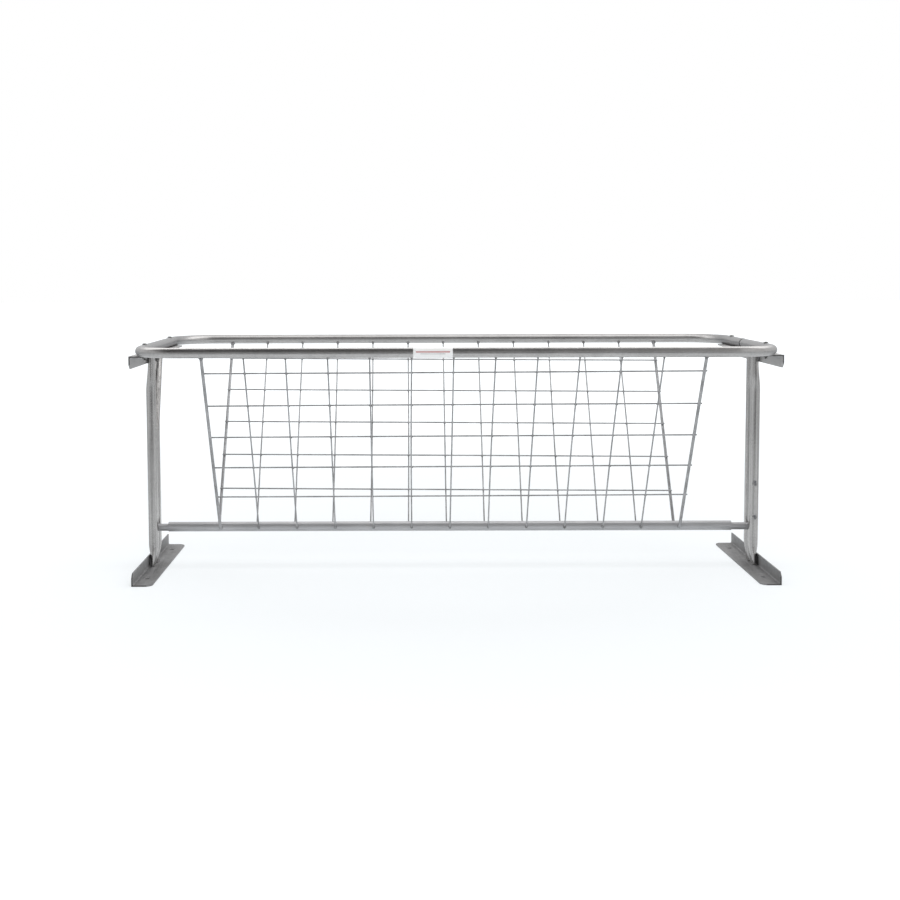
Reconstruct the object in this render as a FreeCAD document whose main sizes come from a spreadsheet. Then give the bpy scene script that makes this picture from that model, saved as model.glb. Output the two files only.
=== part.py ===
# Galvanised hay rack: a ring of round tube, a V basket of welded wire, a bottom
# rail and two end stands of paired tube legs between angle brackets.
#
# Frame: millimetres, +Z up, +X along the rack, -Y the front.  The origin is on the
# floor, midway between the two stands and midway between front and back.

import FreeCAD, Part
import math
import os
import Sketcher
from FreeCAD import Placement, Rotation, Vector

os.makedirs("parts", exist_ok=True)
doc = FreeCAD.newDocument("hay_rack")

# ---------------------------------------------------------------- driving sizes

SIZES = {
    # round tube of the ring, the bottom rail and the legs: 1 in, 16 gauge
    "tube_radius": 12.7,
    "tube_wall": 1.6,
    # top ring, measured on the tube's centre line
    "ring_half_length": 783.0,
    "ring_half_depth": 333.0,
    "ring_height": 586.0,
    "ring_corner_radius": 112.0,
    # slip joint in the ring's right end: the front end is swaged into the rear one
    "joint_mouth": 45.0,
    "joint_gap": 2.0,
    "swage_taper": 6.0,
    "swage_radius": 10.95,
    "swage_length": 40.0,
    # welded mesh, 4 in squares
    "mesh_pitch": 101.6,
    "wire_radius": 1.9,
    "edge_rod_radius": 3.95,
    "wire_end_drop": 2.0,
    "front_mesh_shift": -8.5,
    "rear_mesh_shift": -17.0,
    "front_first_cross": 63.0,
    "rear_first_cross": 70.5,
    "front_mesh_skew": -5.0,
    "rear_mesh_skew": 10.0,
    "front_cross_overhang": 6.5,
    "rear_cross_overhang": 4.5,
    "front_cross_shift": 2.0,
    "rear_cross_shift": 0.0,
    # bottom rail and the stubs in its ends
    "rail_height": 102.0,
    "rail_length": 1500.0,
    "rail_shift": -8.5,
    "stub_radius": 9.5,
    "stub_drop": 1.5,
    "stub_insert": 60.0,
    # angle brackets, 2 x 1 1/4 x 1/8 in, the same section above and below
    "angle_width": 50.8,
    "angle_flange": 32.0,
    "angle_thickness": 3.2,
    "angle_length": 508.0,
    "angle_corner": 19.0,
    "angle_clip": 11.0,
    "bolt_line": 25.5,
    "bolt_half_spacing": 177.8,
    "foot_heel": 808.0,
    "foot_hole_radius": 5.6,
    # legs, pressed to a blade at the foot and to an oval at the top
    "leg_half_spacing": 22.5,
    "leg_top_x": 798.0,
    "leg_foot_x": 795.0,
    "leg_taper": 56.0,
    "foot_taper": 24.0,
    "taper_fullness": 1.1,
    "blade_half_width": 19.6,
    "blade_half_thickness": 2.7,
    "oval_half_width": 16.0,
    "oval_half_thickness": 8.8,
    "bent_leg_height": 380.0,
    "bent_leg_offset": 70.0,
    # ring bolts, 1/4 in carriage bolts with washers and hexagon nuts
    "bolt_radius": 3.1,
    "bolt_clearance": 3.6,
    "head_radius": 6.6,
    "head_height": 3.6,
    "bolt_tail": 4.0,
    "washer_radius": 9.0,
    "washer_height": 1.5,
    "nut_across_flats": 11.1,
    "nut_height": 5.5,
    # blank label on the front rail
    "label_length": 95.0,
    "label_shift": -59.0,
    "label_thickness": 0.4,
    "label_wrap": 176.0,
}

sheet = doc.addObject("Spreadsheet::Sheet", "Sizes")
for row, (alias, value) in enumerate(SIZES.items(), start=1):
    sheet.set(f"A{row}", alias)
    sheet.set(f"B{row}", str(value))
    sheet.setAlias(f"B{row}", alias)
doc.recompute()


def size(alias):
    """The sheet's value for one alias, as a plain number."""
    return float(sheet.get(alias))


def bind(obj, **expressions):
    """Bind properties to the sheet; a bare alias in an expression is read from it."""
    for prop, text in expressions.items():
        obj.setExpression(prop, in_sheet(text))


def in_sheet(text):
    """Put the sheet's name before every alias in an expression."""
    words, word = [], ""
    for letter in text + " ":
        if letter.isalnum() or letter == "_":
            word += letter
            continue
        words.append(f"Sizes.{word}" if word in SIZES else word)
        words.append(letter)
        word = ""
    return "".join(words).strip()


parts = []


def keep(obj, label):
    """Name a finished sub-part and put it on the list to export."""
    obj.Label = label
    parts.append(obj)
    return obj


# ------------------------------------------------------------- sketch helpers


def origin_plane(body, role):
    """One of a body's own origin planes, found by its role."""
    for feature in body.Origin.OriginFeatures:
        if feature.Role == role:
            return feature
    raise ValueError(role)


def new_sketch(body, name, role, offset=None):
    """A sketch on an origin plane of its body, moved off it by a placement."""
    sketch = body.newObject("Sketcher::SketchObject", name)
    sketch.AttachmentSupport = [(origin_plane(body, role), "")]
    sketch.MapMode = "FlatFace"
    if offset is not None:
        sketch.AttachmentOffset = offset
    return sketch


def dimension(sketch, kind, geometry, expression, value):
    """Add one driving dimension and bind it to the sheet."""
    index = sketch.addConstraint(Sketcher.Constraint(kind, *geometry, value))
    sketch.setExpression(f"Constraints[{index}]", in_sheet(expression))
    return index


def circle_in_sketch(sketch, x, y, radius):
    """A circle whose centre and radius are (value, expression) pairs."""
    centre = Vector(x[0], y[0], 0)
    index = sketch.addGeometry(Part.Circle(centre, Vector(0, 0, 1), radius[0]), False)
    for kind, pair in (("DistanceX", x), ("DistanceY", y)):
        dimension(sketch, kind, (-1, 1, index, 3), pair[1], pair[0])
    dimension(sketch, "Radius", (index,), radius[1], radius[0])
    return index


def polygon_in_sketch(sketch, corners):
    """A closed outline; each corner is ((x, expression), (y, expression))."""
    points = [Vector(x[0], y[0], 0) for x, y in corners]
    count = len(points)
    for i, start in enumerate(points):
        sketch.addGeometry(Part.LineSegment(start, points[(i + 1) % count]), False)
    for i in range(count):
        sketch.addConstraint(Sketcher.Constraint("Coincident", i, 2, (i + 1) % count, 1))
    for i, (x, y) in enumerate(corners):
        for kind, pair in (("DistanceX", x), ("DistanceY", y)):
            dimension(sketch, kind, (-1, 1, i, 1), pair[1], pair[0])


# ------------------------------------------------------------------- top ring


def ring_path(body):
    """The ring's centre line, open at the slip joint."""
    half_x = size("ring_half_length")
    half_y = size("ring_half_depth")
    radius = size("ring_corner_radius")
    mouth = size("joint_mouth")
    tail = mouth - size("joint_gap") - size("swage_taper")
    in_x, in_y = half_x - radius, half_y - radius

    height = Placement(Vector(0, 0, size("ring_height")), Rotation())
    path = new_sketch(body, "ring_path", "XY_Plane", height)
    bind(path, **{"AttachmentOffset.Base.z": "ring_height"})

    def line(x0, y0, x1, y1):
        path.addGeometry(Part.LineSegment(Vector(x0, y0, 0), Vector(x1, y1, 0)), False)

    def corner(sign_x, sign_y, start_degrees):
        circle = Part.Circle(Vector(sign_x * in_x, sign_y * in_y, 0), Vector(0, 0, 1), radius)
        start = math.radians(start_degrees)
        path.addGeometry(Part.ArcOfCircle(circle, start, start + math.pi / 2), False)

    line(half_x, mouth, half_x, in_y)
    corner(1, 1, 0)
    line(in_x, half_y, -in_x, half_y)
    corner(-1, 1, 90)
    line(-half_x, in_y, -half_x, -in_y)
    corner(-1, -1, 180)
    line(-in_x, -half_y, in_x, -half_y)
    corner(1, -1, 270)
    line(half_x, -in_y, half_x, tail)

    for i in range(8):
        path.addConstraint(Sketcher.Constraint("Tangent", i, 2, i + 1, 1))
    for i in (0, 4, 8):
        path.addConstraint(Sketcher.Constraint("Vertical", i))
    for i in (2, 6):
        path.addConstraint(Sketcher.Constraint("Horizontal", i))
    for i in (3, 5, 7):
        path.addConstraint(Sketcher.Constraint("Equal", 1, i))
    dimension(path, "Radius", (1,), "ring_corner_radius", radius)
    dimension(path, "DistanceX", (-1, 1, 0, 1), "ring_half_length", half_x)
    dimension(path, "DistanceX", (-1, 1, 4, 1), "-ring_half_length", -half_x)
    dimension(path, "DistanceX", (-1, 1, 8, 2), "ring_half_length", half_x)
    dimension(path, "DistanceY", (-1, 1, 2, 1), "ring_half_depth", half_y)
    dimension(path, "DistanceY", (-1, 1, 6, 1), "-ring_half_depth", -half_y)
    dimension(path, "DistanceY", (-1, 1, 0, 1), "joint_mouth", mouth)
    dimension(path, "DistanceY", (-1, 1, 8, 2), "joint_mouth - joint_gap - swage_taper", tail)
    return path


def ring_section(body):
    """The tube's section at the joint's mouth, square to the ring's right end."""
    offset = Placement(Vector(0, 0, -size("joint_mouth")), Rotation())
    section = new_sketch(body, "ring_section", "XZ_Plane", offset)
    bind(section, **{"AttachmentOffset.Base.z": "-joint_mouth"})
    centre = ((size("ring_half_length"), "ring_half_length"), (size("ring_height"), "ring_height"))
    outer = size("tube_radius")
    circle_in_sketch(section, *centre, (outer, "tube_radius"))
    circle_in_sketch(section, *centre, (outer - size("tube_wall"), "tube_radius - tube_wall"))
    return section


def swaged_end(body):
    """The reduced end that slips into the ring's other end."""
    height = Placement(Vector(0, 0, size("ring_height")), Rotation())
    outline = new_sketch(body, "swage_outline", "XY_Plane", height)
    bind(outline, **{"AttachmentOffset.Base.z": "ring_height"})
    end = "joint_mouth - joint_gap"
    stations = {
        "tail": f"{end} - swage_taper",
        "neck": end,
        "tip": f"{end} + swage_length",
    }
    radii = {
        "full": "tube_radius",
        "full_bore": "tube_radius - tube_wall",
        "small": "swage_radius",
        "small_bore": "swage_radius - tube_wall",
    }
    wall = (("full", "tail"), ("small", "neck"), ("small", "tip"),
            ("small_bore", "tip"), ("small_bore", "neck"), ("full_bore", "tail"))
    corners = []
    for radius, station in wall:
        x = f"ring_half_length + {radii[radius]}"
        y = stations[station]
        corners.append(((number(x), x), (number(y), y)))
    polygon_in_sketch(outline, corners)
    axis_x = size("ring_half_length")
    axis = outline.addGeometry(Part.LineSegment(Vector(axis_x, 0, 0), Vector(axis_x, 10, 0)), True)
    outline.addConstraint(Sketcher.Constraint("Vertical", axis))
    dimension(outline, "DistanceX", (-1, 1, axis, 1), "ring_half_length", axis_x)

    turned = body.newObject("PartDesign::Revolution", "swaged_end")
    turned.Profile = outline
    turned.ReferenceAxis = (outline, ["Axis0"])
    turned.Angle = 360
    return turned


def number(expression):
    """The value of a sum of sheet sizes, such as 'tube_radius - tube_wall'."""
    total, sign = 0.0, 1.0
    for word in expression.split():
        if word == "+":
            sign = 1.0
        elif word == "-":
            sign = -1.0
        else:
            total += sign * size(word)
    return total


def bolt_places():
    """The four bolts' (x, y) with their expressions."""
    x, y = "ring_half_length", "bolt_half_spacing"
    places = []
    for mark_x, sign_x in (("-", -1), ("", 1)):
        for mark_y, sign_y in (("-", -1), ("", 1)):
            places.append(((sign_x * size(x), mark_x + x), (sign_y * size(y), mark_y + y)))
    return places


def top_ring():
    body = doc.addObject("PartDesign::Body", "top_ring")
    path = ring_path(body)
    section = ring_section(body)
    tube = body.newObject("PartDesign::AdditivePipe", "ring_tube")
    tube.Profile = section
    tube.Spine = path
    tube.Mode = "Standard"
    doc.recompute()
    swaged_end(body)

    height = Placement(Vector(0, 0, size("ring_height")), Rotation())
    holes = new_sketch(body, "ring_holes", "XY_Plane", height)
    bind(holes, **{"AttachmentOffset.Base.z": "ring_height"})
    for x, y in bolt_places():
        circle_in_sketch(holes, x, y, (size("bolt_clearance"), "bolt_clearance"))
    drilled = body.newObject("PartDesign::Pocket", "bolt_holes")
    drilled.Profile = holes
    drilled.Midplane = True
    bind(drilled, Length="4 * tube_radius")
    body.Tip = drilled
    return keep(body, "top_ring")


# ------------------------------------------------------------------ wire mesh


def panel_frame(side):
    """How one panel hangs: the ring's centre, the direction down the panel and the
    direction into the basket.  The uprights run from the ring's centre to beside the
    bottom rail, where they end a little below its middle."""
    top = Vector(0, side * size("ring_half_depth"), size("ring_height"))
    low = Vector(0, side * (size("tube_radius") + size("wire_radius")),
                 size("rail_height") - size("wire_end_drop"))
    down = low - top
    down.normalize()
    inward = Vector(0, side * down.z, -side * down.y)
    return top, down, inward


UPRIGHT_LENGTH = (
    "sqrt((ring_half_depth - tube_radius - wire_radius) ^ 2"
    " + (ring_height - rail_height + wire_end_drop) ^ 2) - tube_radius"
)
MESH_SPACES = 12
CROSS_LENGTH = f"sqrt(({MESH_SPACES} * mesh_pitch) ^ 2 + SKEW ^ 2) + 2 * OVERHANG"


def rod(label, start, direction, radius, length):
    """A straight round wire from a point along a direction."""
    wire = doc.addObject("Part::Cylinder", label)
    bind(wire, Radius=radius, Height=length)
    wire.Placement = Placement(start, Rotation(Vector(0, 0, 1), direction))
    return keep(wire, label)


def mesh_panel(side, name):
    """Edge rods, upright wires and the cross wires inside them."""
    top, down, inward = panel_frame(side)
    pitch = size("mesh_pitch")
    shift = size(f"{name}_mesh_shift")
    half_width = MESH_SPACES * pitch / 2
    first_end = top + down * size("tube_radius")

    # the thicker edge rods stand outward, so that the cross wires touch them too
    rod_offset = size("edge_rod_radius") - size("wire_radius")
    for hand, x in (("left", shift - half_width), ("right", shift + half_width)):
        start = first_end + Vector(x, 0, 0) - inward * rod_offset
        rod(f"{name}_edge_rod_{hand}", start, down, "edge_rod_radius", UPRIGHT_LENGTH)

    for i in range(1, MESH_SPACES):
        start = first_end + Vector(shift - half_width + i * pitch, 0, 0)
        rod(f"{name}_upright_wire_{i:02d}", start, down, "wire_radius", UPRIGHT_LENGTH)

    # cross wires lie on the inside of the uprights and run slightly out of level
    skew = size(f"{name}_mesh_skew")
    along = Vector(2 * half_width, 0, 0) + down * skew
    along.normalize()
    length = CROSS_LENGTH.replace("SKEW", f"{name}_mesh_skew")
    length = length.replace("OVERHANG", f"{name}_cross_overhang")
    for i in range(5):
        distance = size(f"{name}_first_cross") + i * pitch
        middle = top + Vector(shift, 0, 0) + down * distance
        middle = middle + inward * (2 * size("wire_radius"))
        reach = math.hypot(2 * half_width, skew) / 2 + size(f"{name}_cross_overhang")
        start = middle - along * (reach - size(f"{name}_cross_shift"))
        rod(f"{name}_cross_wire_{i + 1}", start, along, "wire_radius", length)


# --------------------------------------------------------- bottom rail, stubs


def hollow_tube(label, start, radius, length):
    """A tube along +X: an outer cylinder less its bore."""
    turn = Rotation(Vector(0, 0, 1), Vector(1, 0, 0))
    outer = doc.addObject("Part::Cylinder", f"{label}_outside")
    bore = doc.addObject("Part::Cylinder", f"{label}_bore")
    bind(outer, Radius=radius, Height=length)
    bind(bore, Radius=f"{radius} - tube_wall", Height=length)
    for solid in (outer, bore):
        solid.Placement = Placement(start, turn)
    tube = doc.addObject("Part::Cut", label)
    tube.Base = outer
    tube.Tool = bore
    return keep(tube, label)


def bottom_rail():
    start = Vector(size("rail_shift") - size("rail_length") / 2, 0, size("rail_height"))
    hollow_tube("bottom_rail", start, "tube_radius", "rail_length")


def rail_stub(side, label):
    """A smaller tube held between two legs; the rail's end slides over it."""
    rail_end = size("rail_shift") + side * size("rail_length") / 2
    inner = rail_end - side * size("stub_insert")
    outer = side * size("leg_foot_x")
    start = Vector(min(inner, outer), 0, size("rail_height") - size("stub_drop"))
    length = f"leg_foot_x - rail_length / 2 + stub_insert - {side} * rail_shift"
    hollow_tube(label, start, "stub_radius", length.replace("- -1", "+ 1"))


# ------------------------------------------------------------- angle brackets


def angle_bracket(label, side, up, heel_x, base_z):
    """An angle along Y.  Its plate lies flat and its flange is on the outer side,
    standing up from the plate (up = 1) or hanging from it (up = -1)."""
    body = doc.addObject("PartDesign::Body", label)
    width, flange = size("angle_width"), size("angle_flange")
    thick, length = size("angle_thickness"), size("angle_length")

    def place(inward, rise):
        """A corner of the section, measured inward from the heel and off the plate."""
        value_x = -side * number(inward) if inward else 0.0
        value_z = up * number(rise) if rise else 0.0
        mark_x = "-" if side > 0 else ""
        mark_z = "-" if up < 0 else ""
        return (
            (value_x, f"{mark_x}{inward}" if inward else "0 * angle_width"),
            (value_z, f"{mark_z}{rise}" if rise else "0 * angle_width"),
        )

    outline = new_sketch(body, f"{label}_section", "XZ_Plane")
    corners = (("", ""), ("angle_width", ""), ("angle_width", "angle_thickness"),
               ("angle_thickness", "angle_thickness"), ("angle_thickness", "angle_flange"),
               ("", "angle_flange"))
    polygon_in_sketch(outline, [place(*corner) for corner in corners])
    bar = body.newObject("PartDesign::Pad", f"{label}_bar")
    bar.Profile = outline
    bar.Midplane = True
    bind(bar, Length="angle_length")

    holes = new_sketch(body, f"{label}_hole_circles", "XY_Plane")
    mark = "-" if side > 0 else ""
    for sign, mark_y in ((-1, "-"), (1, "")):
        circle_in_sketch(
            holes,
            (-side * size("bolt_line"), f"{mark}bolt_line"),
            (sign * size("bolt_half_spacing"), f"{mark_y}bolt_half_spacing"),
            (size("foot_hole_radius"), "foot_hole_radius"),
        )
    punched = body.newObject("PartDesign::Pocket", f"{label}_holes")
    punched.Profile = holes
    punched.Midplane = True
    bind(punched, Length="4 * angle_thickness")
    doc.recompute()

    def edge_at(point):
        """The name of the edge whose middle is nearest to a point."""
        edges = body.Shape.Edges
        gaps = [edge.CenterOfMass.distanceToPoint(point) for edge in edges]
        return f"Edge{gaps.index(min(gaps)) + 1}"

    plate_middle = up * thick / 2
    rounded = body.newObject("PartDesign::Fillet", f"{label}_rounded")
    inner_ends = [Vector(-side * width, sign * length / 2, plate_middle) for sign in (-1, 1)]
    rounded.Base = (punched, [edge_at(point) for point in inner_ends])
    bind(rounded, Radius="angle_corner")
    doc.recompute()

    clipped = body.newObject("PartDesign::Chamfer", f"{label}_clipped")
    front_tip = Vector(-side * thick / 2, -length / 2, up * flange)
    clipped.Base = (rounded, [edge_at(front_tip)])
    bind(clipped, Size="angle_clip")
    body.Tip = clipped
    body.Placement = Placement(Vector(side * heel_x, 0, base_z), Rotation())
    return keep(body, label)


# ----------------------------------------------------------------------- legs


def section_curve(name, centre, half_width, half_thickness):
    """A level ellipse, long across the rack (Y), or a circle where both are equal."""
    if half_width == half_thickness:
        curve = doc.addObject("Part::Circle", name)
        bind(curve, Radius=half_width)
    else:
        curve = doc.addObject("Part::Ellipse", name)
        bind(curve, MajorRadius=half_width, MinorRadius=half_thickness)
    curve.Placement = Placement(centre, Rotation(Vector(0, 0, 1), 90))
    return curve


def leg_stations(side, y_of_height):
    """The leg's section centres from the floor up, with the section at each."""
    thick = size("angle_thickness")
    low_end = thick
    high_end = size("ring_height") - size("tube_radius") - thick
    pressed = size("angle_flange") - thick
    taper, foot_taper = size("leg_taper"), size("foot_taper")
    foot_x, top_x = size("leg_foot_x"), size("leg_top_x")
    # the oval's flat side bears on the upper flange
    oval_x = (size("ring_half_length") + size("bolt_line") - thick
              - size("oval_half_thickness"))
    stations = [
        ("blade", foot_x, low_end),
        ("oval", foot_x, low_end + pressed),
        ("round", foot_x, low_end + pressed + foot_taper),
        ("round", (foot_x + top_x) / 2, size("bent_leg_height")),
        ("round", top_x, high_end - pressed - taper),
        ("half oval", (oval_x + top_x) / 2, high_end - pressed - taper / 2),
        ("oval", oval_x, high_end - pressed),
        ("oval", oval_x, high_end),
    ]
    return [(kind, Vector(side * x, y_of_height(z), z)) for kind, x, z in stations]


def section_sizes(kind):
    """Half width (along Y) and half thickness of a leg's section."""
    if kind == "round":
        return "tube_radius", "tube_radius"
    end = kind.split()[-1]
    wide, thin = f"{end}_half_width", f"{end}_half_thickness"
    if kind.startswith("half"):
        return tuple(f"(tube_radius + {side}) / 2 + taper_fullness" for side in (wide, thin))
    return wide, thin


def leg_shell(name, stations, inset):
    """A ruled loft through the stations, its sections reduced by an inset."""
    less = f" - {inset}" if inset else ""
    sections = []
    for i, (kind, centre) in enumerate(stations):
        wide, thin = section_sizes(kind)
        label = f"{name}_section_{i}"
        sections.append(section_curve(label, centre, f"{wide}{less}", f"{thin}{less}"))
    loft = doc.addObject("Part::Loft", name)
    loft.Sections = sections
    loft.Solid = True
    loft.Ruled = True
    return loft


def leg(label, side, y_of_height):
    stations = leg_stations(side, y_of_height)
    tube = doc.addObject("Part::Cut", label)
    tube.Base = leg_shell(f"{label}_outside", stations, "")
    tube.Tool = leg_shell(f"{label}_bore", stations, "tube_wall")
    return keep(tube, label)


def upright_leg_y(sign):
    """A leg that stands straight, beside its twin."""
    return lambda height: sign * size("leg_half_spacing")


def bent_leg_y(height):
    """The left rear leg leans back above its bend."""
    bend = size("bent_leg_height")
    top = size("ring_height") - size("tube_radius") - size("angle_thickness")
    lean = max(0.0, height - bend) / (top - bend)
    return size("leg_half_spacing") + lean * size("bent_leg_offset")


# -------------------------------------------------------------------- fasteners


def group(label, solids):
    """Separate identical solids in one sub-part."""
    holder = doc.addObject("Part::Compound", label)
    holder.Links = solids
    return keep(holder, label)


def ring_bolts():
    """Carriage bolts: a domed head on the tube's top and a shank to below the nut."""
    solids = []
    tube_top = size("ring_height") + size("tube_radius")
    plate_bottom = size("ring_height") - size("tube_radius") - size("angle_thickness")
    stack = size("washer_height") + size("nut_height") + size("bolt_tail")
    for i, (x, y) in enumerate(bolt_places(), start=1):
        shank = doc.addObject("Part::Cylinder", f"bolt_shank_{i}")
        bind(shank, Radius="bolt_radius")
        bind(shank, Height="2 * tube_radius + angle_thickness + washer_height"
                           " + nut_height + bolt_tail")
        shank.Placement = Placement(Vector(x[0], y[0], plate_bottom - stack), Rotation())
        dome = doc.addObject("Part::Cone", f"bolt_head_{i}")
        bind(dome, Radius1="head_radius", Radius2="head_radius / 2", Height="head_height")
        dome.Placement = Placement(Vector(x[0], y[0], tube_top), Rotation())
        bolt = doc.addObject("Part::Fuse", f"bolt_{i}")
        bolt.Base = shank
        bolt.Tool = dome
        solids.append(bolt)
    return group("ring_bolts", solids)


def ring_bolt_washers():
    solids = []
    plate_bottom = size("ring_height") - size("tube_radius") - size("angle_thickness")
    for i, (x, y) in enumerate(bolt_places(), start=1):
        place = Placement(Vector(x[0], y[0], plate_bottom - size("washer_height")), Rotation())
        disc = doc.addObject("Part::Cylinder", f"washer_disc_{i}")
        hole = doc.addObject("Part::Cylinder", f"washer_hole_{i}")
        bind(disc, Radius="washer_radius", Height="washer_height")
        bind(hole, Radius="bolt_clearance", Height="washer_height")
        disc.Placement = place
        hole.Placement = place
        washer = doc.addObject("Part::Cut", f"washer_{i}")
        washer.Base = disc
        washer.Tool = hole
        solids.append(washer)
    return group("ring_bolt_washers", solids)


def ring_bolt_nuts():
    solids = []
    plate_bottom = size("ring_height") - size("tube_radius") - size("angle_thickness")
    nut_bottom = plate_bottom - size("washer_height") - size("nut_height")
    for i, (x, y) in enumerate(bolt_places(), start=1):
        place = Placement(Vector(x[0], y[0], nut_bottom), Rotation())
        block = doc.addObject("Part::Prism", f"nut_block_{i}")
        block.Polygon = 6
        bind(block, Circumradius="nut_across_flats / sqrt(3)", Height="nut_height")
        bore = doc.addObject("Part::Cylinder", f"nut_bore_{i}")
        bind(bore, Radius="bolt_radius", Height="nut_height")
        block.Placement = place
        bore.Placement = place
        nut = doc.addObject("Part::Cut", f"nut_{i}")
        nut.Base = block
        nut.Tool = bore
        solids.append(nut)
    return group("ring_bolt_nuts", solids)


# ------------------------------------------------------------------------ label


def label_plate():
    """A thin blank label wrapped round the front of the front rail."""
    start = Vector(size("label_shift") - size("label_length") / 2,
                   -size("ring_half_depth"), size("ring_height"))
    wrap = size("label_wrap")
    # the wrap starts near the rail's top, passes its front and ends underneath
    turn = Rotation(Vector(0, 0, 1), Vector(0, -1, 0), Vector(1, 0, 0), "ZXY")
    turn = turn.multiply(Rotation(Vector(0, 0, 1), 90 - wrap / 2))
    outside = doc.addObject("Part::Cylinder", "label_outside")
    inside = doc.addObject("Part::Cylinder", "label_inside")
    bind(outside, Radius="tube_radius + label_thickness", Height="label_length", Angle="label_wrap")
    bind(inside, Radius="tube_radius", Height="label_length")
    for solid in (outside, inside):
        solid.Placement = Placement(start, turn)
    sticker = doc.addObject("Part::Cut", "blank_label")
    sticker.Base = outside
    sticker.Tool = inside
    return keep(sticker, "blank_label")


# --------------------------------------------------------------------- assembly

top_ring()
mesh_panel(-1, "front")
mesh_panel(1, "rear")
bottom_rail()
rail_stub(-1, "left_rail_stub")
rail_stub(1, "right_rail_stub")

ring_underside = size("ring_height") - size("tube_radius")
top_heel = size("ring_half_length") + size("bolt_line")
for side, hand in ((-1, "left"), (1, "right")):
    angle_bracket(f"{hand}_foot", side, 1, size("foot_heel"), 0.0)
    angle_bracket(f"{hand}_top_bracket", side, -1, top_heel, ring_underside)
    leg(f"{hand}_front_leg", side, upright_leg_y(-1))
leg("left_rear_leg", -1, bent_leg_y)
leg("right_rear_leg", 1, upright_leg_y(1))

ring_bolts()
ring_bolt_washers()
ring_bolt_nuts()
label_plate()

# ------------------------------------------------------------- check and export

doc.recompute()
for obj in doc.Objects:
    if "Invalid" in obj.State or "Error" in obj.State:
        raise RuntimeError(f"{obj.Label}: {obj.State}")
for obj in parts:
    shape = obj.Shape
    if shape.isNull() or not shape.isValid() or not shape.Solids:
        raise RuntimeError(f"{obj.Label}: bad shape")
    shape.exportStep(f"parts/{obj.Label}.step")
print(len(parts), "parts written")
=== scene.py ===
"""Looks of a livestock hay rack: a ring of tube on flattened tube legs, with two
wire mesh panels that meet on a bottom rail.  Metres, +Z up, the floor at Z = 0."""

import math
import random

import bmesh
import bpy
from mathutils import Matrix, Vector


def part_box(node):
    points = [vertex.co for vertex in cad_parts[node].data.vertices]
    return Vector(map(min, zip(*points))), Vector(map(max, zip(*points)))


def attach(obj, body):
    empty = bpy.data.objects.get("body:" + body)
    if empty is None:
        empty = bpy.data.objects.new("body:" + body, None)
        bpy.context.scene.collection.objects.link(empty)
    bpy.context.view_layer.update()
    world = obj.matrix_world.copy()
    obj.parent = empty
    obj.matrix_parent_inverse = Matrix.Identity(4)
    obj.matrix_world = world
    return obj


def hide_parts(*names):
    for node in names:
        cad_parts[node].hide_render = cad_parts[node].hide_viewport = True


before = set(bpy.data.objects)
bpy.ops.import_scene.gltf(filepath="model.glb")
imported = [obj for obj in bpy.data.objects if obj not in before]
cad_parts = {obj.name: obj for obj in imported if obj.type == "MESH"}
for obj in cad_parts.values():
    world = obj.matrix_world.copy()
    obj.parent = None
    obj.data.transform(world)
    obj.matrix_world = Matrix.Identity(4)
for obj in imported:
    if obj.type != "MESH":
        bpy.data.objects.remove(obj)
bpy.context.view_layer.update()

# ------------------------------------------------------------------ dimensions

TUBE = 0.0127
WALL = 0.0016
RING_X, RING_Y, RING_Z = 0.783, 0.333, 0.586
BEND = 0.112
MOUTH_Y = 0.045
SWAGE = 0.01095
PITCH = 0.1016
WIRE = 0.0019
EDGE_ROD = 0.00395
RAIL_Z = 0.102
RAIL_MIDDLE, RAIL_HALF = -0.0085, 0.75
STUB = 0.0095
STUB_Z = RAIL_Z - 0.0015
ANGLE_WIDE, ANGLE_FLANGE, ANGLE_THICK, ANGLE_HALF = 0.0508, 0.032, 0.0032, 0.254
BOLT_LINE, BOLT_Y = 0.0255, 0.1778
FOOT_HEEL = 0.808
LEG_Y = 0.0225
UNDER_RING = RING_Z - TUBE
PLATE_UNDER = UNDER_RING - ANGLE_THICK
LEG_X, LEG_TILT = 0.795, 0.003
LEAN, LEAN_FROM, LEAN_EASE = 0.070, 0.35, 0.06
OVAL_FADE = 0.080
LABEL_X, LABEL_HALF, LABEL_WRAP = -0.059, 0.0475, math.radians(88)
PANELS = {
    "front": dict(side=-1, shift=-0.0085, first=0.063, skew=-0.005, over=0.0065, slid=0.002),
    "rear": dict(side=1, shift=-0.017, first=0.0705, skew=0.010, over=0.0045, slid=0.0),
}

# --------------------------------------------------------------- modelling aids


def start_ring(name, centre, along, radius, sides=32, turned=0.0):
    """An open ring of edges across a direction, left selected in edit mode."""
    bpy.ops.object.select_all(action="DESELECT")
    across = Vector(along).to_track_quat("Z", "Y").to_matrix()
    across = across @ Matrix.Rotation(turned, 3, "Z")
    bpy.ops.mesh.primitive_circle_add(
        vertices=sides, radius=radius, location=centre, rotation=across.to_euler())
    piece = bpy.context.object
    piece.name = piece.data.name = name
    bpy.ops.object.transform_apply(location=True, rotation=True, scale=True)
    bpy.ops.object.mode_set(mode="EDIT")
    bpy.ops.mesh.select_all(action="SELECT")
    return piece


def pull(move):
    """Extrudes the selected end along a move."""
    bpy.ops.mesh.extrude_region_move(TRANSFORM_OT_translate={"value": tuple(move)})


def scale(factors, centre):
    bpy.ops.transform.resize(value=tuple(factors), center_override=tuple(centre))


def pick(piece, wanted):
    """Selects the vertices whose places pass a test, with what lies between them."""
    bpy.ops.mesh.select_mode(type="VERT")
    bpy.ops.mesh.select_all(action="DESELECT")
    shell = bmesh.from_edit_mesh(piece.data)
    for vertex in shell.verts:
        if wanted(vertex.co):
            vertex.select_set(True)
    shell.select_flush(True)
    bmesh.update_edit_mesh(piece.data)


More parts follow.
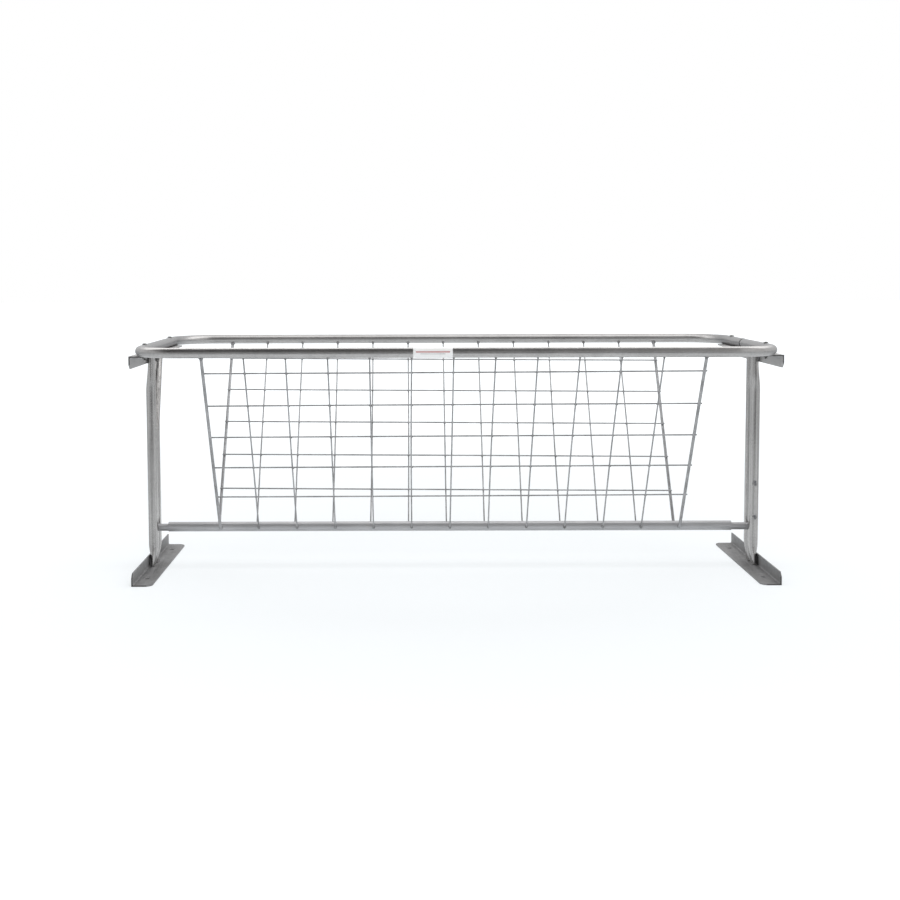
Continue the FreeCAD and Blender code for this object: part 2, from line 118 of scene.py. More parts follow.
def pick_edges(piece, wanted):
    """Selects the edges whose two ends pass a test."""
    bpy.ops.mesh.select_mode(type="EDGE")
    bpy.ops.mesh.select_all(action="DESELECT")
    shell = bmesh.from_edit_mesh(piece.data)
    for edge in shell.edges:
        if wanted(edge.verts[0].co, edge.verts[1].co):
            edge.select_set(True)
    bmesh.update_edit_mesh(piece.data)


def finish_mesh(angle=40):
    """Merges doubles, turns the faces outward and shades smooth up to an angle."""
    bpy.ops.mesh.select_mode(type="VERT")
    bpy.ops.mesh.select_all(action="SELECT")
    bpy.ops.mesh.remove_doubles(threshold=2e-5)
    bpy.ops.mesh.normals_make_consistent(inside=False)
    bpy.ops.object.mode_set(mode="OBJECT")
    bpy.ops.object.shade_smooth_by_angle(angle=math.radians(angle))


def use_modifier(piece, kind, **settings):
    """Adds a modifier with its settings and applies it."""
    modifier = piece.modifiers.new(kind.lower(), kind)
    for setting, value in settings.items():
        setattr(modifier, setting, value)
    bpy.ops.object.modifier_apply(modifier=modifier.name)


def thicken(piece, wall, angle=40, way=-1):
    """Gives a shell its wall, inward or outward, and shades it again."""
    use_modifier(piece, "SOLIDIFY", thickness=wall, offset=way)
    bpy.ops.object.shade_smooth_by_angle(angle=math.radians(angle))


def copy_of(piece, name, place):
    """A copy of a piece with its own mesh, put in place in the mesh."""
    twin = piece.copy()
    twin.data = piece.data.copy()
    twin.name = twin.data.name = name
    bpy.context.collection.objects.link(twin)
    twin.data.transform(place)
    if place.determinant() < 0:
        twin.data.flip_normals()
    return twin


def joined(name, pieces):
    """One piece made of several."""
    bpy.ops.object.select_all(action="DESELECT")
    for piece in pieces:
        piece.select_set(True)
    bpy.context.view_layer.objects.active = pieces[0]
    if len(pieces) > 1:
        bpy.ops.object.join()
    piece = bpy.context.object
    piece.name = piece.data.name = name
    return piece


def put_in(piece, finish, slot, *nodes):
    """Gives a piece its finish, hangs it on the frame and hides what it replaces."""
    piece.data.materials.clear()
    piece.data.materials.append(finish)
    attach(piece, "root")
    if nodes:
        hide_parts(*nodes)
    return piece


# --------------------------------------------------------------------- shading


class Value:
    """A socket that adds its own Math nodes when it is used in an expression."""

    def __init__(self, finish, socket):
        self.finish = finish
        self.socket = socket

    def math(self, operation, *others):
        inputs = [self] + list(others)
        sockets = dict(enumerate(inputs))
        return self.finish.node("ShaderNodeMath", {"operation": operation}, sockets)

    def __add__(self, other):
        return self.math("ADD", other)

    def __sub__(self, other):
        return self.math("SUBTRACT", other)

    def __mul__(self, other):
        return self.math("MULTIPLY", other)

    def __rsub__(self, other):
        return self.finish.node(
            "ShaderNodeMath", {"operation": "SUBTRACT"}, {0: other, 1: self})

    __radd__ = __add__
    __rmul__ = __mul__

    def ramp(self, *stops):
        """Grey levels through stops of (place, level)."""
        settings = {"stops": [(place, (level, level, level, 1)) for place, level in stops]}
        return self.finish.node("ShaderNodeValToRGB", settings, {"Fac": self})


class Finish:
    """A material with one method that adds any node."""

    def __init__(self, name, **uniform):
        self.material = bpy.data.materials.new(name)
        self.material.use_nodes = True
        self.tree = self.material.node_tree
        self.shader = self.tree.nodes["Principled BSDF"]
        for socket, value in uniform.items():
            self.shader.inputs[socket.replace("_", " ").title()].default_value = value
        place = self.tree.nodes.new("ShaderNodeTexCoord")
        self.place = Value(self, place.outputs["Object"])

    def node(self, kind, settings, sockets, output=0):
        made = self.tree.nodes.new(kind)
        stops = settings.pop("stops", None)
        for setting, value in settings.items():
            setattr(made, setting, value)
        if stops:
            ramp = made.color_ramp
            while len(ramp.elements) < len(stops):
                ramp.elements.new(0.5)
            for element, (place, colour) in zip(ramp.elements, stops):
                element.position = place
                element.color = colour
        for socket, value in sockets.items():
            if isinstance(value, Value):
                self.tree.links.new(value.socket, made.inputs[socket])
            else:
                made.inputs[socket].default_value = value
        return Value(self, made.outputs[output])

    def stretched(self, size_x, size_y, size_z):
        """Object coordinates in units of these sizes, in metres."""
        sockets = {"Vector": self.place, "Scale": (1 / size_x, 1 / size_y, 1 / size_z)}
        return self.node("ShaderNodeMapping", {}, sockets)

    def noise(self, where, detail=4.0, rough=0.55):
        sockets = {"Vector": where, "Scale": 1.0, "Detail": detail, "Roughness": rough}
        return self.node("ShaderNodeTexNoise", {}, sockets)

    def cells(self, where):
        """One random grey for each cell, as zinc's spangle has."""
        colour = self.node("ShaderNodeTexVoronoi", {}, {"Vector": where, "Scale": 1.0}, "Color")
        return self.node("ShaderNodeSeparateColor", {}, {0: colour})

    def axis(self, name):
        return self.node("ShaderNodeSeparateXYZ", {}, {0: self.place}, "XYZ".index(name))

    def mix(self, amount, one, other):
        """A colour between two, by an amount from 0 to 1."""
        settings = {"data_type": "RGBA"}
        return self.node("ShaderNodeMix", settings, {0: amount, 6: one, 7: other}, 2)

    def feed(self, **sockets):
        for socket, value in sockets.items():
            name = socket.replace("_", " ").title()
            self.tree.links.new(value.socket, self.shader.inputs[name])

    def bump(self, height, strength, distance):
        sockets = {"Height": height, "Strength": strength, "Distance": distance}
        self.feed(normal=self.node("ShaderNodeBump", {}, sockets))


def zinc_tube():
    """Bright galvanised tube: fine spangle, drawn streaks and dull rubbed patches.
    The short sides are rougher, and their colour is darkened with painted shade."""
    finish = Finish("bright_zinc_tube", metallic=0.95)
    spangle = finish.cells(finish.stretched(0.004, 0.004, 0.004))
    cloud = finish.noise(finish.stretched(0.09, 0.09, 0.09))
    streak = finish.noise(finish.stretched(0.6, 0.004, 0.004), 3.0)
    rubbed = finish.noise(finish.stretched(0.03, 0.03, 0.03), 6.0, 0.7).ramp((0.56, 0), (0.72, 1))
    tone = spangle * 0.12 + cloud * 0.45 + streak * 0.43
    colour = finish.mix(tone.ramp((0.3, 0), (0.7, 1)),
                        (0.375, 0.367, 0.362, 1), (0.545, 0.534, 0.527, 1))
    colour = finish.mix(rubbed * 0.35, colour, (0.34, 0.34, 0.35, 1))
    # painted shade: the short sides are darker in colour, and rougher too
    painted_side_shade_and_dullness = finish.axis("X").math("ABSOLUTE").ramp((0.70, 0), (0.775, 1))
    painted_side_shade_and_dullness = painted_side_shade_and_dullness * (1 - finish.axis("Y").math("ABSOLUTE").ramp((0.25, 0), (0.33, 1)))
    colour = finish.mix(painted_side_shade_and_dullness * 0.8, colour, (0.25, 0.252, 0.26, 1))
    rough = 0.24 + 0.10 * cloud + 0.16 * rubbed + 0.03 * spangle + 0.08 * painted_side_shade_and_dullness
    finish.feed(base_color=colour, roughness=rough)
    finish.bump(cloud * 0.5 + streak * 0.3 + spangle * 0.1, 0.12, 0.0006)
    return finish.material


def leg_tube():
    """The legs' tube: streaks run up it, scuffs show where it was handled, and painted
    highlights make it lighter towards the top, most along the streaks."""
    finish = Finish("leg_zinc_tube", metallic=0.92)
    spangle = finish.cells(finish.stretched(0.004, 0.004, 0.004))
    cloud = finish.noise(finish.stretched(0.05, 0.05, 0.09))
    streak = finish.noise(finish.stretched(0.004, 0.004, 0.5), 3.0).ramp((0.35, 0), (0.65, 1))
    scuff = finish.noise(finish.stretched(0.006, 0.006, 0.02), 5.0, 0.7).ramp((0.62, 0), (0.70, 1))
    tone = spangle * 0.12 + cloud * 0.45 + streak * 0.43
    colour = finish.mix(tone.ramp((0.3, 0), (0.7, 1)),
                        (0.32, 0.312, 0.308, 1), (0.53, 0.518, 0.511, 1))
    # painted highlights: lighter towards the top, most along the streaks
    painted_top_highlights = finish.axis("Z").ramp((0.15, 0), (0.55, 1))
    colour = finish.mix(painted_top_highlights * (0.10 + 0.30 * streak), colour, (0.70, 0.686, 0.676, 1))
    colour = finish.mix(scuff * 0.6, colour, (0.24, 0.24, 0.25, 1))
    # two knocks on the front of the right front leg
    x, y, z = finish.axis("X"), finish.axis("Y"), finish.axis("Z")
    blot = finish.noise(finish.stretched(0.005, 0.005, 0.008), 4.0).ramp((0.40, 0), (0.52, 1))
    across = (1 - (x - 0.796).math("ABSOLUTE") * 130).math("MAXIMUM", 0.0)
    across = across * y.math("LESS_THAN", -LEG_Y)
    for height, reach in ((0.2195, 0.010), (0.130, 0.008)):
        knock = (1 - (z - height).math("ABSOLUTE") * (1 / reach)).math("MAXIMUM", 0.0)
        knock = (knock * across * blot).ramp((0.05, 0), (0.35, 1))
        colour = finish.mix(knock * 0.85, colour, (0.10, 0.10, 0.11, 1))
    finish.feed(base_color=colour, roughness=0.17 + 0.08 * cloud + 0.2 * scuff + 0.03 * spangle)
    finish.bump(cloud * 0.5 + streak * 0.2 + spangle * 0.1, 0.08, 0.0006)
    return finish.material


def dull_tube():
    """The bottom rail's duller tube."""
    finish = Finish("dull_zinc_tube", metallic=0.6)
    cloud = finish.noise(finish.stretched(0.07, 0.04, 0.04))
    streak = finish.noise(finish.stretched(0.5, 0.004, 0.004), 3.0)
    grain = finish.noise(finish.stretched(0.002, 0.002, 0.002), 4.0, 0.7)
    tone = cloud * 0.5 + streak * 0.5
    colour = finish.mix(tone.ramp((0.3, 0), (0.7, 1)),
                        (0.36, 0.36, 0.37, 1), (0.50, 0.50, 0.51, 1))
    finish.feed(base_color=colour, roughness=0.28 + 0.12 * cloud + 0.06 * grain)
    finish.bump(cloud * 0.5 + streak * 0.3 + grain * 0.2, 0.15, 0.0006)
    return finish.material


def zinc_wire():
    """Dull drawn wire with darker dips along it."""
    finish = Finish("zinc_wire", metallic=0.55)
    cloud = finish.noise(finish.stretched(0.05, 0.05, 0.03), 5.0, 0.6)
    grain = finish.noise(finish.stretched(0.0015, 0.0015, 0.0015), 4.0, 0.7)
    tone = cloud.ramp((0.35, 0), (0.65, 1))
    colour = finish.mix(tone, (0.26, 0.26, 0.265, 1), (0.44, 0.44, 0.45, 1))
    finish.feed(base_color=colour, roughness=0.38 + 0.12 * cloud + 0.10 * grain)
    finish.bump(grain, 0.2, 0.0003)
    return finish.material


def dipped_angle():
    """Hot rolled angle under dull zinc: mottled, with faint brown stains and
    scratches, and painted shade on its cut ends."""
    finish = Finish("dull_dipped_angle", metallic=0.85)
    mottle = finish.noise(finish.stretched(0.012, 0.012, 0.012), 6.0, 0.65)
    cloud = finish.noise(finish.stretched(0.06, 0.10, 0.06), 3.0)
    grain = finish.noise(finish.stretched(0.0012, 0.0012, 0.0012), 3.0, 0.7)
    stain = finish.noise(finish.stretched(0.03, 0.05, 0.03), 5.0, 0.7).ramp((0.58, 0), (0.75, 1))
    scratch = finish.noise(finish.stretched(0.001, 0.05, 0.002), 2.0).ramp((0.66, 0), (0.72, 1))
    tone = (mottle * 0.6 + cloud * 0.4).ramp((0.35, 0), (0.65, 1))
    colour = finish.mix(tone, (0.20, 0.198, 0.20, 1), (0.33, 0.33, 0.335, 1))
    colour = finish.mix(stain * 0.35, colour, (0.19, 0.165, 0.145, 1))
    colour = finish.mix(scratch * 0.5, colour, (0.48, 0.48, 0.48, 1))
    # the upper brackets are lighter
    upper = finish.axis("Z").math("GREATER_THAN", 0.3)
    colour = finish.mix(upper * 0.5, colour, (0.66, 0.65, 0.645, 1))
    # painted shade: the cut ends are dark
    painted_end_shade = finish.axis("Y").math("ABSOLUTE").math("GREATER_THAN", ANGLE_HALF - 0.0008)
    colour = finish.mix(painted_end_shade * 0.7, colour, (0.05, 0.048, 0.046, 1))
    finish.feed(base_color=colour, roughness=0.50 + 0.14 * mottle - 0.10 * scratch)
    finish.bump(mottle * 0.5 + grain * 0.25 - scratch * 0.2, 0.25, 0.0008)
    return finish.material


def weld_metal():
    """Weld metal: darker than the zinc round it, brown and blue from the heat."""
    finish = Finish("weld_metal", metallic=0.6)
    tint = finish.noise(finish.stretched(0.008, 0.008, 0.008), 4.0, 0.6)
    grain = finish.noise(finish.stretched(0.0008, 0.0008, 0.0008), 3.0, 0.7)
    colour = finish.mix(tint.ramp((0.40, 0), (0.62, 1)),
                        (0.17, 0.167, 0.163, 1), (0.32, 0.32, 0.33, 1))
    finish.feed(base_color=colour, roughness=0.45 + 0.25 * grain)
    finish.bump(grain, 0.35, 0.0004)
    return finish.material


def plated_fastener():
    """Bright zinc plate with a slight warm cast."""
    finish = Finish("zinc_plated_fastener", metallic=1.0)
    cast = finish.noise(finish.stretched(0.006, 0.006, 0.006), 4.0)
    grain = finish.noise(finish.stretched(0.0008, 0.0008, 0.0008), 3.0)
    colour = finish.mix(cast.ramp((0.4, 0), (0.6, 1)),
                        (0.16, 0.158, 0.152, 1), (0.30, 0.30, 0.295, 1))
    finish.feed(base_color=colour, roughness=0.28 + 0.14 * grain)
    finish.bump(grain, 0.15, 0.0003)
    return finish.material


def blank_vinyl():
    """White vinyl with two plain rules and no lettering."""
    finish = Finish("white_vinyl_label", metallic=0.0, coat_weight=0.3)
    soil = finish.noise(finish.stretched(0.02, 0.02, 0.01), 5.0)
    colour = finish.mix(soil.ramp((0.4, 0), (0.7, 1)),
                        (0.93, 0.93, 0.93, 1), (0.88, 0.88, 0.87, 1))
    height = finish.axis("Z") - RING_Z
    along = (finish.axis("X") - LABEL_X).math("ABSOLUTE")
    front = (finish.axis("Y") + RING_Y).math("LESS_THAN", 0.0)
    red = front * (height - 0.0022).math("ABSOLUTE").math("LESS_THAN", 0.0012)
    red = red * along.math("LESS_THAN", 0.041)
    grey = front * (height + 0.0025).math("ABSOLUTE").math("LESS_THAN", 0.0005)
    grey = grey * along.math("LESS_THAN", 0.030)
    colour = finish.mix(red, colour, (0.45, 0.06, 0.06, 1))
    colour = finish.mix(grey, colour, (0.28, 0.28, 0.30, 1))
    finish.feed(base_color=colour, roughness=0.32 + 0.12 * soil)
    finish.bump(soil, 0.05, 0.0003)
    return finish.material


ZINC = zinc_tube()
LEG_ZINC = leg_tube()
DULL_ZINC = dull_tube()
WIRE_ZINC = zinc_wire()
ANGLE_ZINC = dipped_angle()
WELD = weld_metal()
PLATE_ZINC = plated_fastener()
VINYL = blank_vinyl()

# ------------------------------------------------------------------ the top ring


def bend_corner(sign_x, sign_y):
    """Spins the selected end a quarter turn round one corner of the ring."""
    centre = (sign_x * (RING_X - BEND), sign_y * (RING_Y - BEND), RING_Z)
    bpy.ops.mesh.spin(steps=14, angle=-math.pi / 2, center=centre, axis=(0, 0, 1))


def make_ring():
    """One bent tube; its reduced end slips into the other end on the right side."""
    straight_x, straight_y = 2 * (RING_X - BEND), 2 * (RING_Y - BEND)
    ring = start_ring("ring_tube", (RING_X, MOUTH_Y, RING_Z), (0, 1, 0), TUBE + 0.0004)
    pull((0, 0.0035, 0))
    pull((0, 0.0015, 0))
    scale((TUBE / (TUBE + 0.0004), 1, TUBE / (TUBE + 0.0004)), (RING_X, MOUTH_Y, RING_Z))
    pull((0, straight_y / 2 - MOUTH_Y - 0.005, 0))
    bend_corner(1, 1)
    pull((-straight_x, 0, 0))
    bend_corner(-1, 1)
    pull((0, -straight_y, 0))
    bend_corner(-1, -1)
    pull((straight_x, 0, 0))
    bend_corner(1, -1)
    pull((0, straight_y / 2 + MOUTH_Y - 0.008, 0))
    # the swage: a short cone and the reduced end beyond it
    neck = (RING_X, MOUTH_Y, RING_Z)
    steps = ((0.002, 0.985), (0.003, 0.93), (0.002, 0.985), (0.041, 1.0))
    smaller = 1.0
    for length, ratio in steps:
        pull((0, length, 0))
        scale((ratio, 1, ratio), neck)
        smaller *= ratio
    scale((SWAGE / TUBE / smaller, 1, SWAGE / TUBE / smaller), neck)
    finish_mesh()
    thicken(ring, WALL)
    return put_in(ring, ZINC, "galvanised_tube", "top_ring")


# ------------------------------------------------------- bottom rail and stubs


def make_open_tube(name, start, length, radius, node):
    """A sawn tube along X with its end edges eased."""
    ease = 0.0004
    ring = start_ring(name, start, (1, 0, 0), radius - ease)
    for step, ratio in ((ease, radius / (radius - ease)), (0.01, 1.0),
                        (length - 0.02 - 2 * ease, 1.0), (0.01, 1.0),
                        (ease, (radius - ease) / radius)):
        pull((step, 0, 0))
        scale((1, ratio, ratio), start)
    finish_mesh()
    thicken(ring, WALL)
    return put_in(ring, DULL_ZINC, "galvanised_tube", node)


def make_bottom_rail():
    start = (RAIL_MIDDLE - RAIL_HALF, 0, RAIL_Z)
    make_open_tube("bottom_rail_tube", start, 2 * RAIL_HALF, TUBE, "bottom_rail")
    for hand in ("left", "right"):
        low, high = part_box(f"{hand}_rail_stub")
        start = (low.x, 0, STUB_Z)
        make_open_tube(f"{hand}_stub_tube", start, high.x - low.x, STUB, f"{hand}_rail_stub")


# ------------------------------------------------------------------------ legs


OVAL = dict(x=RING_X + BOLT_LINE - ANGLE_THICK - 0.0096, width=0.0152, depth=0.0096)
# height above the foot plate, then the section's half width and half thickness
FOOT_PRESS = ((0.0, 0.0192, 0.0027), (0.010, 0.0182, 0.0046), (0.020, 0.0169, 0.0068),
              (0.029, 0.0158, 0.0087), (0.041, 0.0142, 0.0109), (0.050, 0.0132, 0.0122),
              (0.060, TUBE, TUBE))


def leg_section(side, lean_of, height):
    """The leg's centre, half width and half thickness at a height."""
    x = LEG_X + LEG_TILT * min(1.0, max(0.0, (height - 0.09) / 0.39))
    width = depth = TUBE
    above = max(0.0, height - ANGLE_THICK)
    for low, high in zip(FOOT_PRESS, FOOT_PRESS[1:]):
        if low[0] <= above <= high[0]:
            share = (above - low[0]) / (high[0] - low[0])
            width = low[1] + (high[1] - low[1]) * share
            depth = low[2] + (high[2] - low[2]) * share
    if height > 0.3:
        from_end = PLATE_UNDER - height - (ANGLE_FLANGE - ANGLE_THICK)
        share = min(1.0, max(0.0, 1 - from_end / OVAL_FADE))
        share = share * share * (3 - 2 * share)
        x += (OVAL["x"] - x) * share
        width += (OVAL["width"] - TUBE) * share + 0.0048 * share * (1 - share)
        depth += (OVAL["depth"] - TUBE) * share
    return Vector((side * x, lean_of(height), height)), width, depth


def make_leg(name, side, lean_of, node):
    """A round tube pressed to a blade at the foot and to an oval under the ring."""
    up = (5, 10, 15, 20, 25, 29, 35, 41, 46, 50, 55, 60)
    down = (109, 97, 86, 78, 71, 64, 57, 50, 43, 36, 29, 22, 10, 0)
    heights = [ANGLE_THICK + step * 0.001 for step in up]
    heights += [0.2, 0.3, 0.35, 0.365, 0.38, 0.395, 0.41, 0.44]
    heights += [PLATE_UNDER - step * 0.001 for step in down]
    centre, width, depth = leg_section(side, lean_of, ANGLE_THICK)
    leg = start_ring(name, centre, (0, 0, 1), 1.0)
    scale((depth, width, 1), centre)
    # press the two broad sides flat and keep the edges round
    for face in (-1, 1):
        wall = centre.x + face * depth
        pick(leg, lambda co: face * (co.x - centre.x) > depth * 0.62)
        scale((0, 1, 1), (wall, centre.y, centre.z))
    bpy.ops.mesh.select_all(action="SELECT")
    for height in heights:
        new_centre, new_width, new_depth = leg_section(side, lean_of, height)
        pull(new_centre - centre)
        scale((new_depth / depth, new_width / width, 1), new_centre)
        centre, width, depth = new_centre, new_width, new_depth
    finish_mesh(50)
    open_out(leg, side, lean_of)
    thicken(leg, WALL * 0.9, angle=50)
    return put_in(leg, LEG_ZINC, "galvanised_tube", node)


def open_out(leg, side, lean_of):
    """Lets the pressed section open out to a true circle along the leg's middle."""
    for vertex in leg.data.vertices:
        centre, width, depth = leg_section(side, lean_of, vertex.co.z)
        x, y = vertex.co.x - centre.x, vertex.co.y - centre.y
        angle = math.atan2(y / width, x / depth)
        share = min(1.0, max(0.0, (depth - 0.0027) / 0.0061))
        vertex.co.x += (centre.x + depth * math.cos(angle) - vertex.co.x) * share
        vertex.co.y += (centre.y + width * math.sin(angle) - vertex.co.y) * share


def straight(sign):
    return lambda height: sign * LEG_Y


def leaning(height):
    """The left rear leg leans back above its bend, which is eased."""
    past = height - LEAN_FROM
    if past <= 0:
        return LEG_Y
    eased = past * past / (2 * LEAN_EASE) if past < LEAN_EASE else past - LEAN_EASE / 2
    return LEG_Y + LEAN * eased / (PLATE_UNDER - LEAN_FROM - LEAN_EASE / 2)


# -------------------------------------------------------------- angle brackets


def make_angle(name, side, up, heel_x, base_z, node):
    """A rolled angle: plate and flange with an inner fillet, one clipped flange
    corner, rounded plate corners and two punched holes."""
    thick = ANGLE_THICK

    def corner(inward, rise, along):
        return Vector((side * (heel_x - inward), along, base_z + up * rise))

    bpy.ops.object.select_all(action="DESELECT")
    bpy.ops.mesh.primitive_plane_add(
        size=thick, location=corner(thick / 2, thick / 2, -ANGLE_HALF),
        rotation=(math.pi / 2, 0, 0))
    angle = bpy.context.object
    angle.name = angle.data.name = name
    bpy.ops.object.transform_apply(location=True, rotation=True, scale=True)
    bpy.ops.object.mode_set(mode="EDIT")
    inner_x = corner(thick, 0, 0).x
    pick(angle, lambda co: abs(co.x - inner_x) < 1e-5)
    pull((-side * (ANGLE_WIDE - thick), 0, 0))
    inner_z = corner(0, thick, 0).z
    pick(angle, lambda co: abs(co.z - inner_z) < 1e-5 and side * co.x > side * inner_x - 1e-5)
    pull((0, 0, up * (ANGLE_FLANGE - thick)))
    bpy.ops.mesh.select_all(action="SELECT")
    bpy.ops.mesh.remove_doubles(threshold=1e-6)
    bpy.ops.mesh.select_all(action="SELECT")
    pull((0, 2 * ANGLE_HALF, 0))
    bpy.ops.mesh.select_all(action="SELECT")
    bpy.ops.mesh.normals_make_consistent(inside=False)

    def lies(inward=None, rise=None, along=None):
        def test(one, two):
            near = True
            for want, axis in ((corner(inward or 0, 0, 0).x, 0), (corner(0, rise or 0, 0).z, 2),
                               (along or 0, 1)):
                if (inward, along, rise)[axis] is None:
                    continue
                near = near and abs(one[axis] - want) < 1e-5 and abs(two[axis] - want) < 1e-5
            return near
        return test

    # the plate's two free corners, then the flange's clipped one
    for end in (-1, 1):
        pick_edges(angle, lies(inward=ANGLE_WIDE, along=end * ANGLE_HALF))
        bpy.ops.mesh.bevel(offset=0.019, segments=10, affect="EDGES")
    pick_edges(angle, lies(rise=ANGLE_FLANGE, along=-ANGLE_HALF))
    bpy.ops.mesh.bevel(offset=0.011, segments=1, affect="EDGES")
    # the rolled inner fillet
    pick_edges(angle, lies(inward=thick, rise=thick))
    bpy.ops.mesh.bevel(offset=0.0035, segments=5, affect="EDGES")
    finish_mesh()

    for end in (-1, 1):
        punch = start_ring("punch", corner(BOLT_LINE, -0.01, end * BOLT_Y), (0, 0, up), 0.0056)
        bpy.ops.mesh.edge_face_add()
        pull((0, 0, up * 0.03))
        finish_mesh()
        bpy.ops.object.select_all(action="DESELECT")
        bpy.context.view_layer.objects.active = angle
        angle.select_set(True)
        use_modifier(angle, "BOOLEAN", operation="DIFFERENCE", object=punch, solver="EXACT")
        bpy.data.objects.remove(punch)
    use_modifier(angle, "BEVEL", width=0.0005, segments=2, limit_method="ANGLE",
                 angle_limit=math.radians(50))
    bpy.ops.object.shade_smooth_by_angle(angle=math.radians(35))
    return put_in(angle, ANGLE_ZINC, "hot_dipped_angle", node)


# ------------------------------------------------------------------- fasteners


def bolt_places():
    return [(x * RING_X, y * BOLT_Y) for x in (-1, 1) for y in (-1, 1)]


def make_fasteners():
    """Carriage bolts down through the ring, with washers and nuts below."""
    x, y = bolt_places()[0]
    head_z = RING_Z + TUBE
    moves = [Matrix.Translation((x2 - x, y2 - y, 0)) for x2, y2 in bolt_places()[1:]]

    bolt = start_ring("carriage_bolts", (x, y, head_z - 0.0012), (0, 0, 1), 0.0064, 24)
    bpy.ops.mesh.edge_face_add()
    pull((0, 0, 0.0016))
    scale((1.03, 1.03, 1), (x, y, head_z))
    for rise, ratio in ((0.0012, 0.93), (0.0009, 0.83), (0.0006, 0.68), (0.0003, 0.42)):
        pull((0, 0, rise))
        scale((ratio, ratio, 1), (x, y, head_z))
    pick(bolt, lambda co: co.z < head_z - 0.001)
    scale((0.0031 / 0.0064, 0.0031 / 0.0064, 1), (x, y, head_z))
    pull((0, 0, PLATE_UNDER - 0.007 - head_z + 0.0012))
    for turn in range(5):
        for ratio in (0.88, 1 / 0.88):
            pull((0, 0, -0.0004))
            scale((ratio, ratio, 1), (x, y, head_z))
    pull((0, 0, -0.0003))
    scale((0.8, 0.8, 1), (x, y, head_z))
    finish_mesh()
    bolts = joined("carriage_bolts", [bolt] + [
        copy_of(bolt, f"carriage_bolt_{i}", move) for i, move in enumerate(moves)])
    put_in(bolts, PLATE_ZINC, "zinc_plated_fastener", "ring_bolts")

    washer = start_ring("washers", (x, y, PLATE_UNDER), (0, 0, 1), 0.0036, 32)
    for rise, radius, before in ((0, 0.0086, 0.0036), (-0.0004, 0.009, 0.0086),
                                 (-0.0007, 0.009, 0.009), (-0.0004, 0.0086, 0.009),
                                 (0, 0.0038, 0.0086), (0.0015, 0.0036, 0.0038)):
        pull((0, 0, rise))
        scale((radius / before, radius / before, 1), (x, y, PLATE_UNDER))
    finish_mesh()
    washers = joined("washers", [washer] + [
        copy_of(washer, f"washer_{i}", move) for i, move in enumerate(moves)])
    put_in(washers, PLATE_ZINC, "zinc_plated_fastener", "ring_bolt_washers")

    top, across = PLATE_UNDER - 0.0015, 0.0111 / math.sqrt(3)
    nut = start_ring("nuts", (x, y, top), (0, 0, 1), 0.0033, 24, math.radians(7.5))
    pull((0, 0, 0))
    scale((across / 0.0033 * 0.90,) * 2 + (1,), (x, y, top))
    pull((0, 0, -0.0006))
    scale((1 / 0.90, 1 / 0.90, 1), (x, y, top))
    pull((0, 0, -0.0043))
    pull((0, 0, -0.0006))
    scale((0.90, 0.90, 1), (x, y, top))
    pull((0, 0, 0))
    scale((0.0033 / across / 0.90,) * 2 + (1,), (x, y, top))
    pull((0, 0, 0.0055))
    finish_mesh(25)
    six_sides(nut, x, y, 0.0111 / 2)
    nuts = joined("nuts", [nut] + [
        copy_of(nut, f"nut_{i}", move) for i, move in enumerate(moves)])
    put_in(nuts, PLATE_ZINC, "zinc_plated_fastener", "ring_bolt_nuts")


def six_sides(nut, x, y, flat):
    """Presses the round blank's sides onto the hexagon's six flats."""
    for vertex in nut.data.vertices:
        out_x, out_y = vertex.co.x - x, vertex.co.y - y
        for i in range(6):
            way = Vector((math.cos(i * math.pi / 3), math.sin(i * math.pi / 3)))
            past = out_x * way.x + out_y * way.y - flat
            if past > 0:
                vertex.co.x -= past * way.x
                vertex.co.y -= past * way.y
                out_x, out_y = vertex.co.x - x, vertex.co.y - y


# ------------------------------------------------------------------ mesh panels


def hang(panel):
    """Where a panel starts, the ways down it and into the basket, and its length."""
    side = panel["side"]
    top = Vector((0, side * RING_Y, RING_Z))
    down = Vector((0, side * (TUBE + WIRE), RAIL_Z - 0.002)) - top
    length = down.length
    down.normalize()
    return top, down, Vector((0, side * down.z, -side * down.y)), length


def make_wire(name, start, along, length, radius, sides, bow):
    """A sheared wire: eased ends and a slight bow from handling."""
    along = Vector(along).normalized()
    start = Vector(start)
    wire = start_ring(name, start, along, radius * 0.7, sides)
    bpy.ops.mesh.edge_face_add()
    ease = radius * 0.35
    pieces = 12
    step = (length - 2 * ease) / pieces
    pull(along * ease)
    scale((1 / 0.7,) * 3, start + along * ease)
    for i in range(pieces):
        share = ((i + 1) / pieces, i / pieces)
        rise = math.sin(math.pi * share[0]) - math.sin(math.pi * share[1])
        pull(along * step + bow * rise)
    pull(along * ease)
    scale((0.7,) * 3, start + along * length)
    finish_mesh(50)
    return wire


def crossings(panel):
    """The uprights' places along X and the cross wires' places down the panel."""
    xs = [panel["shift"] + (i - 6) * PITCH for i in range(13)]
    downs = [panel["first"] + i * PITCH for i in range(5)]
    return xs, downs


